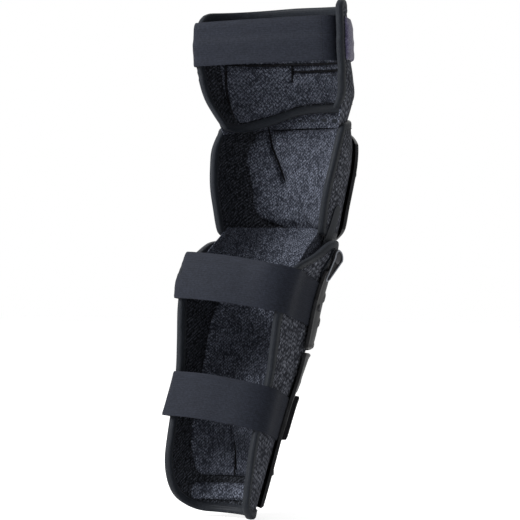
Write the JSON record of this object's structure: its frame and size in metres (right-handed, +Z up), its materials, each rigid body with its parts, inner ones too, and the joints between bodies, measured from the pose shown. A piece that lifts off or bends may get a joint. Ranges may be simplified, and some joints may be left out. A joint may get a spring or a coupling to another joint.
{
  "type": "articulated knee and shin guard",
  "caption": "Open-backed padded guard for thigh, knee and shin with hard front shells, pivots beside the knee and elastic straps that open as gates.",
  "frame": {"origin": "the centre of the wearer's knee inside the guard, on its middle plane, 320 mm above the lower edge of the shin section", "axes": "+Z up along the leg to the thigh, -Y forwards out of the knee cap, +X the wearer's left"},
  "size_m": [0.1747, 0.2149, 0.4988],
  "materials": {
    "mesh_lining": "padded knitted mesh lining with a fine light speckle",
    "outer_mesh": "coarse knitted outer mesh",
    "foam": "closed-cell foam behind the shells",
    "binding": "smooth satin bound edge",
    "webbing": "fine woven elastic webbing",
    "hard_plastic": "satin moulded plastic",
    "loop_pile": "fuzzy loop pile",
    "hook_tape": "matt hook tape",
    "rivet": "dark metal"
  },
  "bodies": {
    "knee_body": {"knee_binding_bottom": "binding", "knee_binding_left": "binding", "knee_binding_right": "binding", "knee_binding_top": "binding", "knee_front_panel": "outer_mesh", "knee_link_left": "hard_plastic", "knee_link_right": "hard_plastic", "knee_pad": "mesh_lining", "knee_pad_lobe": "mesh_lining", "knee_rivet_left": "rivet", "knee_rivet_right": "rivet", "knee_shell": "hard_plastic", "knee_shell_foam": "foam", "knee_wing_left": "outer_mesh", "knee_wing_right": "outer_mesh"},
    "thigh_body": {"thigh_binding_bottom": "binding", "thigh_binding_left": "binding", "thigh_binding_right": "binding", "thigh_binding_top": "binding", "thigh_front_panel": "outer_mesh", "thigh_landing_patch": "loop_pile", "thigh_lining": "mesh_lining", "thigh_loop_patch": "loop_pile", "thigh_strap_anchor": "webbing", "thigh_wing_left": "outer_mesh", "thigh_wing_right": "outer_mesh"},
    "shin_body": {"lower_calf_landing_patch": "loop_pile", "lower_calf_strap_anchor": "webbing", "upper_calf_landing_patch": "loop_pile", "upper_calf_strap_anchor": "webbing", "pivot_pin_left": "rivet", "pivot_pin_right": "rivet", "shin_arm_left": "hard_plastic", "shin_arm_right": "hard_plastic", "shin_binding_bottom": "binding", "shin_binding_left": "binding", "shin_binding_right": "binding", "shin_binding_top": "binding", "shin_front_panel": "outer_mesh", "shin_loop_pad": "hook_tape", "shin_lower_rivet_left": "rivet", "shin_lower_rivet_right": "rivet", "shin_pad": "mesh_lining", "shin_pad_foot": "mesh_lining", "shin_shell_foam_lower": "foam", "shin_shell_foam_upper": "foam", "shin_shell_lower": "hard_plastic", "shin_shell_upper": "hard_plastic", "shin_upper_rivet_left": "rivet", "shin_upper_rivet_right": "rivet", "shin_wing_left": "outer_mesh", "shin_wing_right": "outer_mesh"},
    "thigh_strap_body": {"thigh_strap": "webbing", "thigh_hook_tab": "hook_tape"},
    "upper_calf_strap_body": {"upper_calf_strap": "webbing", "upper_calf_hook_tab": "hook_tape"},
    "lower_calf_strap_body": {"lower_calf_strap": "webbing", "lower_calf_hook_tab": "hook_tape"}
  },
  "joints": [
    {"name": "thigh_flex", "type": "hinge", "parent": "knee_body", "child": "thigh_body", "pos_m": [0, -0.018, 0.06], "axis": [-1, 0, 0], "range_deg": [-4, 34]},
    {"name": "shin_flex", "type": "hinge", "parent": "knee_body", "child": "shin_body", "pos_m": [0, -0.001, -0.075], "axis": [1, 0, 0], "range_deg": [-5, 40]},
    {"name": "thigh_strap_gate", "type": "hinge", "parent": "thigh_body", "child": "thigh_strap_body", "pos_m": [-0.08061, 0.00624, 0.141], "axis": [0.0187, 0.0366, 0.9992], "range_deg": [0, 105]},
    {"name": "upper_calf_strap_gate", "type": "hinge", "parent": "shin_body", "child": "upper_calf_strap_body", "pos_m": [-0.059, 0.07812, -0.10448], "axis": [-0.1871, -0.2517, 0.9496], "range_deg": [0, 100]},
    {"name": "lower_calf_strap_gate", "type": "hinge", "parent": "shin_body", "child": "lower_calf_strap_body", "pos_m": [-0.04884, 0.1035, -0.21678], "axis": [-0.0634, -0.3461, 0.936], "range_deg": [0, 100]}
  ]
}
